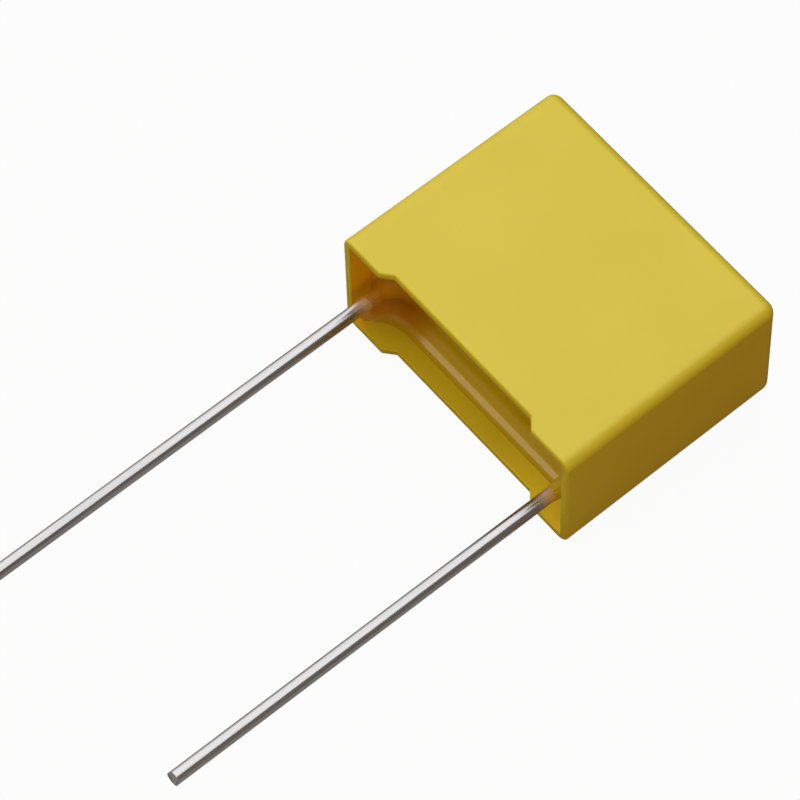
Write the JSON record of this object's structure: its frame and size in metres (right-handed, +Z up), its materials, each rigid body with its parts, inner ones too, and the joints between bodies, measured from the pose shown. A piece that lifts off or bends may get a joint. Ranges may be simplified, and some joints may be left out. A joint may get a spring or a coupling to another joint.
{
  "type": "polyester film capacitor",
  "caption": "Box-type film capacitor: moulded plastic case with a footed open side, resin potting and straight radial wire leads for through-hole mounting.",
  "frame": {"origin": "centre of the broad face of the case that it lies on", "axes": "+X across the two leads, +Y towards the closed end of the case (the leads point to -Y), +Z up through the case's thickness"},
  "size_m": [0.018, 0.0394, 0.0085],
  "materials": {
    "case_plastic": "fine moulded satin, warm yellow",
    "epoxy": "glossy, amber brown, slightly see-through",
    "polyester_film": "silvery metallised film, flattened roll",
    "sprayed_metal": "rough sprayed zinc",
    "tinned_wire": "bright tin, fine drawn lines"
  },
  "bodies": {
    "root": {"case": "case_plastic", "potting_resin": "epoxy", "film_winding": "polyester_film", "end_spray_left": "sprayed_metal", "end_spray_right": "sprayed_metal", "lead_left": "tinned_wire", "lead_right": "tinned_wire"}
  },
  "joints": []
}
